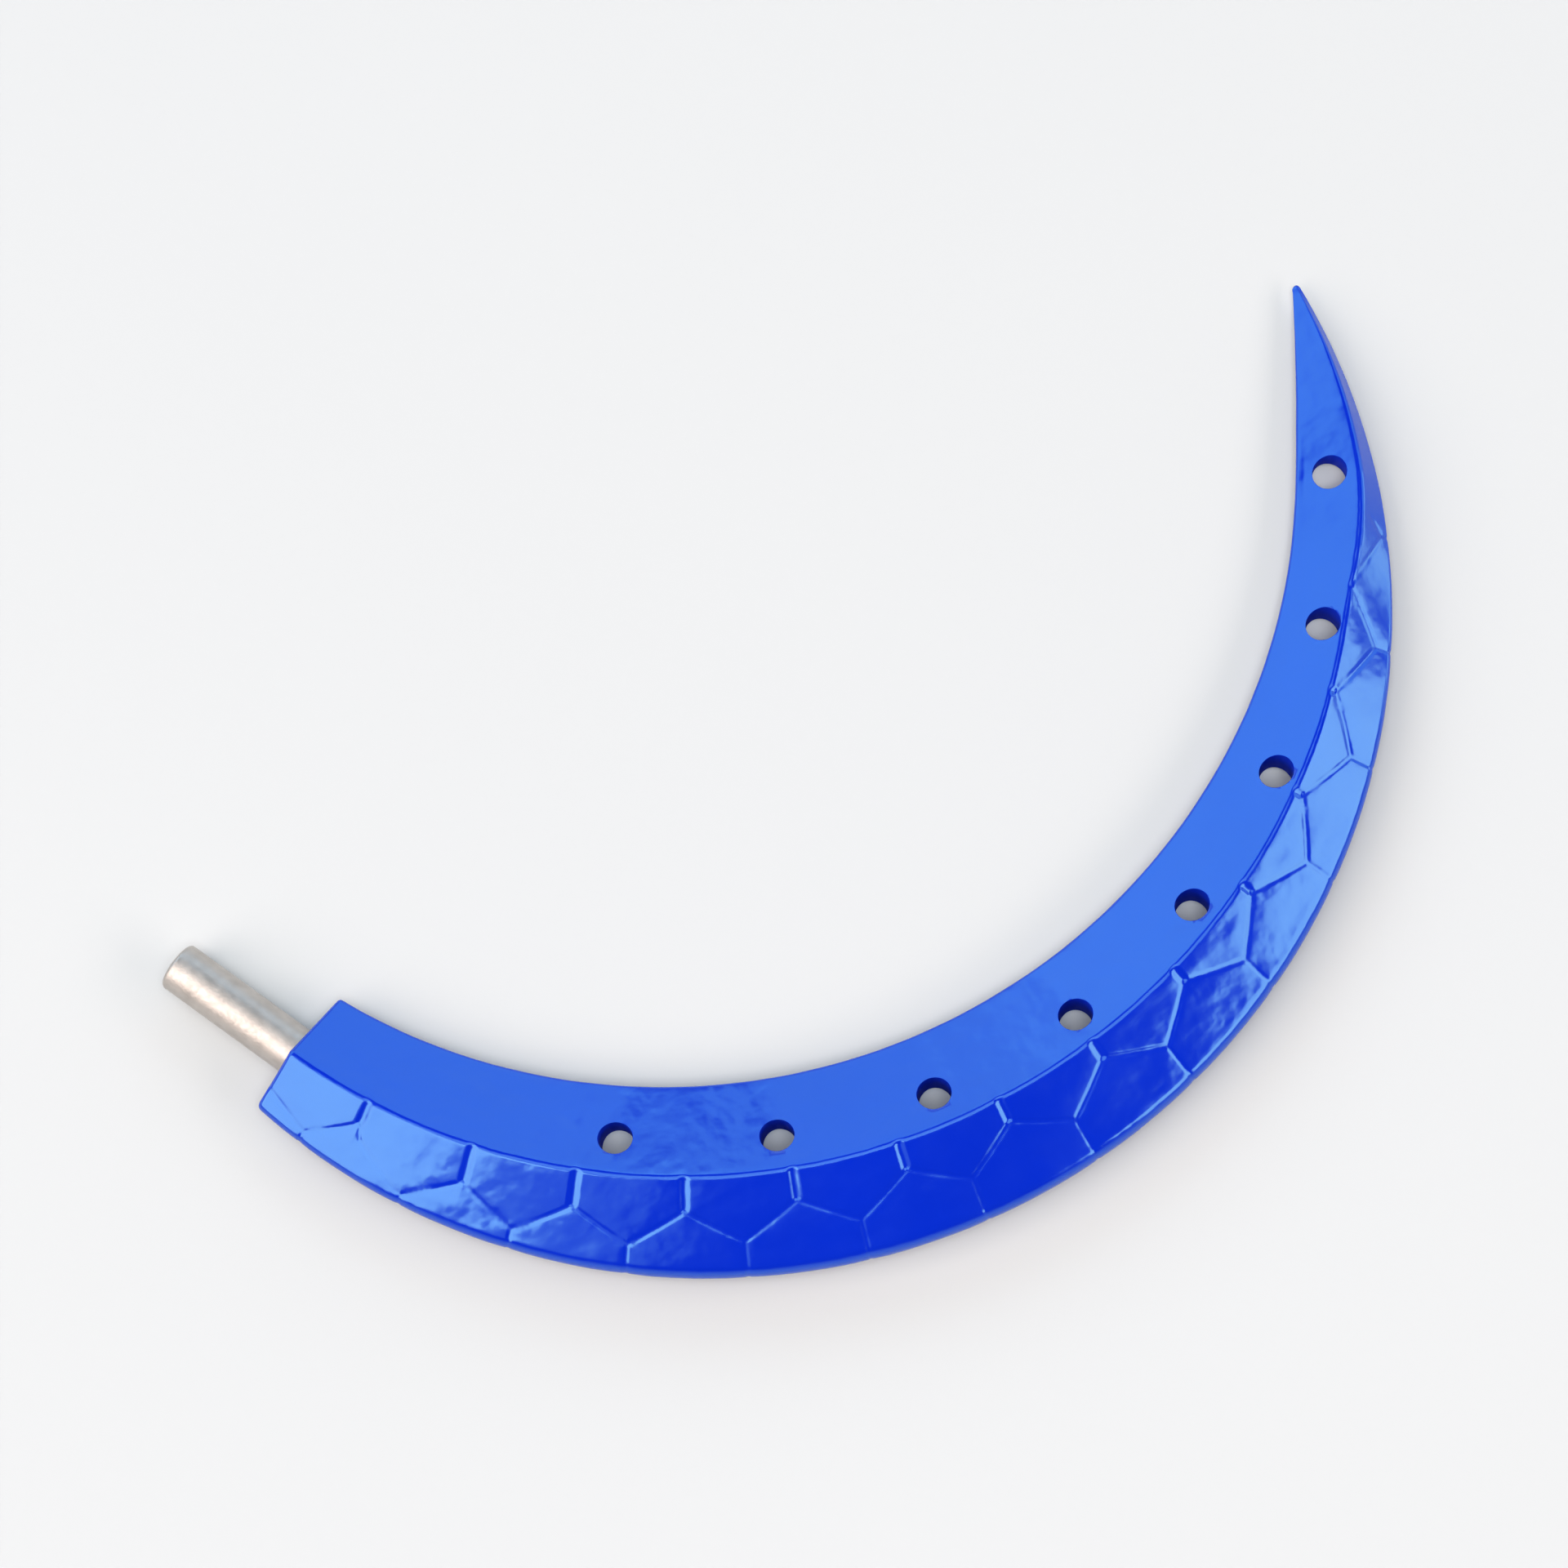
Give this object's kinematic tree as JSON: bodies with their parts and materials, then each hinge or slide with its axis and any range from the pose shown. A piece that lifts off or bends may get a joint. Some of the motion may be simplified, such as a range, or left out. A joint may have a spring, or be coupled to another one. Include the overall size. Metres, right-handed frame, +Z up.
{
  "type": "crescent arm with mounting pin",
  "caption": "Faceted crescent arm of moulded plastic with a row of through holes, tapering to a point, with a straight metal mounting pin in its flat end face.",
  "frame": {"origin": "bottom centre of the bounding box, on the surface that the arm lies on", "axes": "+X along the chord from the pin's free end to the point, +Y from the bulge of the crescent towards its open side, +Z up"},
  "size_m": [0.1056, 0.052, 0.0081],
  "materials": {
    "horn_plastic": "glossy moulded plastic, royal blue",
    "pin_metal": "satin, bead blasted"
  },
  "bodies": {
    "root": {"horn_body": "horn_plastic", "mounting_pin": "pin_metal"}
  },
  "joints": []
}
